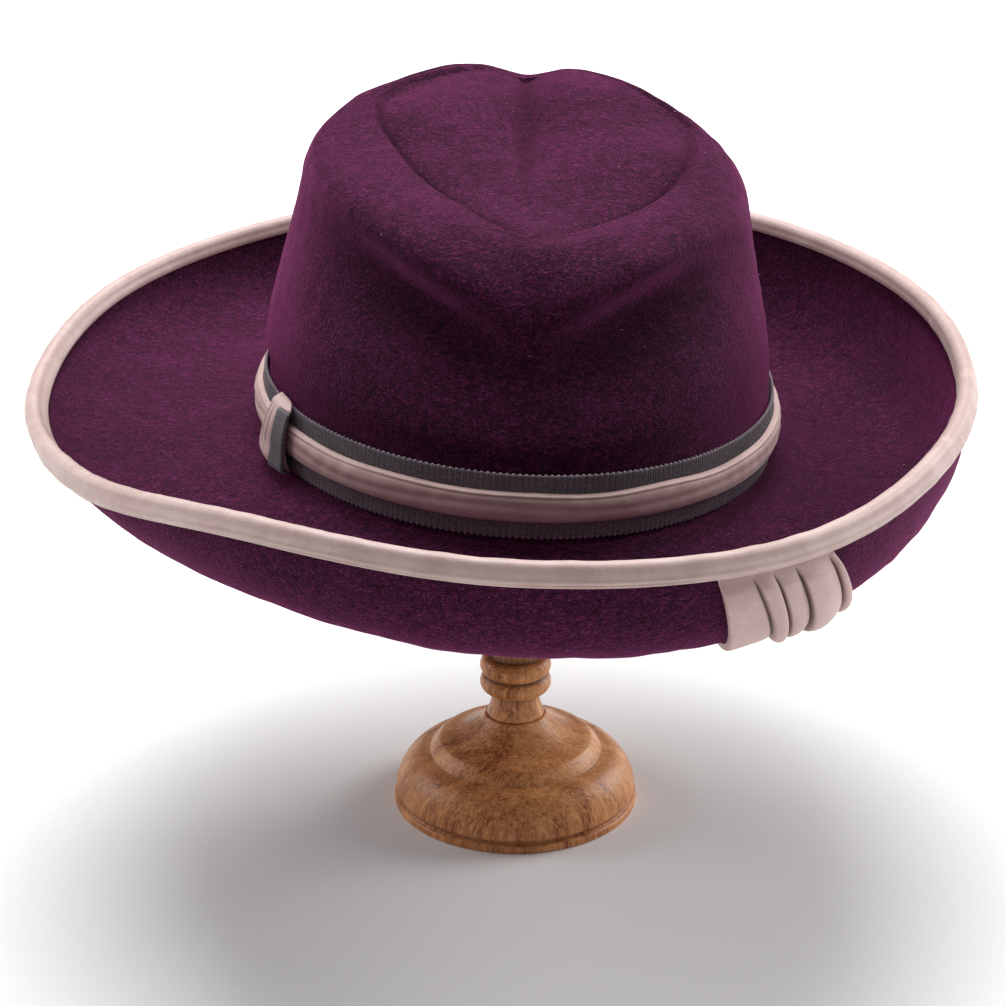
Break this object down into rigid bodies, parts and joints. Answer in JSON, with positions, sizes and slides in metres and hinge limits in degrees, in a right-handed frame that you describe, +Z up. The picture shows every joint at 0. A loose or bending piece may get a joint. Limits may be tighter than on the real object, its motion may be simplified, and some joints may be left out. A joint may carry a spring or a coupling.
{
  "type": "felt hat on a turned wooden hat stand",
  "caption": "Wide-brimmed felt hat with creased crown, ribbon and satin bands, bound brim edge and pleated strip, on a small turned wooden stand.",
  "frame": {"origin": "middle of the underside of the stand's foot, on the floor", "axes": "+Z up; -Y the front of the hat, where the crown is pinched; +X the wearer's left side"},
  "size_m": [0.32, 0.3514, 0.2479],
  "materials": {
    "felt": "brushed felt with a short nap",
    "satin": "soft satin",
    "grosgrain": "ribbed ribbon",
    "wood": "waxed turned wood"
  },
  "bodies": {
    "root": {"crown": "felt", "brim": "felt", "brim_binding": "satin", "brim_gather": "satin", "satin_band": "satin", "keeper_satin": "satin", "ribbon_band": "grosgrain", "keeper_ribbon": "grosgrain", "stand_foot": "wood", "stand_stem": "wood", "stand_head": "wood"}
  },
  "joints": []
}
